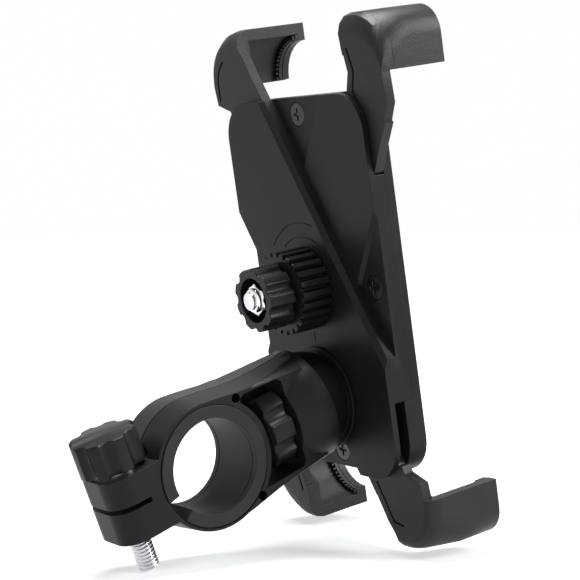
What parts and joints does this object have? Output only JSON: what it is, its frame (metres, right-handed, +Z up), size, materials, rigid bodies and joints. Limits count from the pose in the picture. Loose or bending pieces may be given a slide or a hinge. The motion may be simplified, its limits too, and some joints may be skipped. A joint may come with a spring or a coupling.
{
  "type": "bicycle phone mount",
  "caption": "Handlebar phone holder: clawed arms driven out of a flat body by a hand wheel, carried on a ball joint by a split clamp with a thumb knob.",
  "frame": {"origin": "centre of the handlebar bore in the clamp, half way along the clamp's width", "axes": "+X along the handlebar, to the right as seen by a rider looking at the phone's back from the clamp side; +Y from the clamp towards the phone; +Z up"},
  "size_m": [0.077, 0.1112, 0.1483],
  "materials": {
    "black_plastic": "satin, fine moulded grain",
    "knob_plastic": "semi-gloss moulded",
    "rubber": "matt",
    "steel": "zinc plated",
    "chrome": "polished",
    "dark_steel": "blackened",
    "insert_plastic": "natural, waxy"
  },
  "bodies": {
    "clamp": {"clamp_body": "black_plastic", "clamp_liner": "rubber", "clamp_nut": "steel", "clamp_washer": "steel", "stud_washer": "steel"},
    "clamp_screw": {"clamp_knob": "knob_plastic", "clamp_bolt": "steel"},
    "ball_lock": {"ball_lock_nut": "knob_plastic"},
    "ball": {"ball_stud": "steel"},
    "socket": {"socket_insert": "insert_plastic"},
    "holder": {"ball_housing": "black_plastic", "housing_screws": "dark_steel", "rear_cover": "black_plastic", "front_shell": "black_plastic", "cover_screws": "dark_steel", "front_pad": "rubber", "centre_bolt": "steel", "centre_nut": "chrome"},
    "drive": {"pinion": "steel", "gear_wheel": "knob_plastic", "spring_washer": "steel"},
    "lock": {"lock_knob": "knob_plastic"},
    "grip_top_left": {"claw_top_left": "black_plastic", "pad_top_left": "rubber"},
    "grip_top_right": {"claw_top_right": "black_plastic", "pad_top_right": "rubber"},
    "grip_bottom_left": {"claw_bottom_left": "black_plastic", "pad_bottom_left": "rubber"},
    "grip_bottom_right": {"claw_bottom_right": "black_plastic", "pad_bottom_right": "rubber"}
  },
  "joints": [
    {"name": "clamp_knob_turn", "type": "hinge", "parent": "clamp", "child": "clamp_screw", "pos_m": [0, -0.02196, -0.00613], "axis": [0, -0.36, 0.933], "continuous": true},
    {"name": "ball_lock_turn", "type": "hinge", "parent": "clamp", "child": "ball_lock", "pos_m": [0, 0.03456, 0.01307], "axis": [0, -0.9353, -0.3539], "continuous": true},
    {"name": "arm_turn", "type": "hinge", "parent": "clamp", "child": "ball", "pos_m": [0, 0.03456, 0.01307], "axis": [0, -0.9353, -0.3539], "continuous": true},
    {"name": "head_tilt", "type": "hinge", "parent": "ball", "child": "socket", "pos_m": [0, 0.03456, 0.01307], "axis": [1, 0, 0], "range_deg": [-7, 19]},
    {"name": "head_turn", "type": "hinge", "parent": "socket", "child": "holder", "pos_m": [0, 0.03456, 0.01307], "axis": [0, -0.986, -0.1668], "continuous": true},
    {"name": "wheel_turn", "type": "hinge", "parent": "holder", "child": "drive", "pos_m": [0, 0.04858, 0.04709], "axis": [0, -0.986, -0.1668], "range_deg": [-90, 150]},
    {"name": "lock_turn", "type": "hinge", "parent": "holder", "child": "lock", "pos_m": [0, 0.04858, 0.04709], "axis": [0, -0.986, -0.1668], "continuous": true},
    {"name": "top_left_slide", "type": "slide", "parent": "holder", "child": "grip_top_left", "axis": [-0.5, -0.1444, 0.8539], "range_m": [-0.00754, 0.01257]},
    {"name": "top_right_slide", "type": "slide", "parent": "holder", "child": "grip_top_right", "axis": [0.5, -0.1444, 0.8539], "range_m": [-0.00754, 0.01257]},
    {"name": "bottom_left_slide", "type": "slide", "parent": "holder", "child": "grip_bottom_left", "axis": [-0.5, 0.1444, -0.8539], "range_m": [-0.00754, 0.01257]},
    {"name": "bottom_right_slide", "type": "slide", "parent": "holder", "child": "grip_bottom_right", "axis": [0.5, 0.1444, -0.8539], "range_m": [-0.00754, 0.01257]}
  ],
  "couplings": [
    {"joint": "top_left_slide", "follows": "wheel_turn", "m_per_rad": 0.0048},
    {"joint": "top_right_slide", "follows": "wheel_turn", "m_per_rad": 0.0048},
    {"joint": "bottom_left_slide", "follows": "wheel_turn", "m_per_rad": 0.0048},
    {"joint": "bottom_right_slide", "follows": "wheel_turn", "m_per_rad": 0.0048}
  ]
}
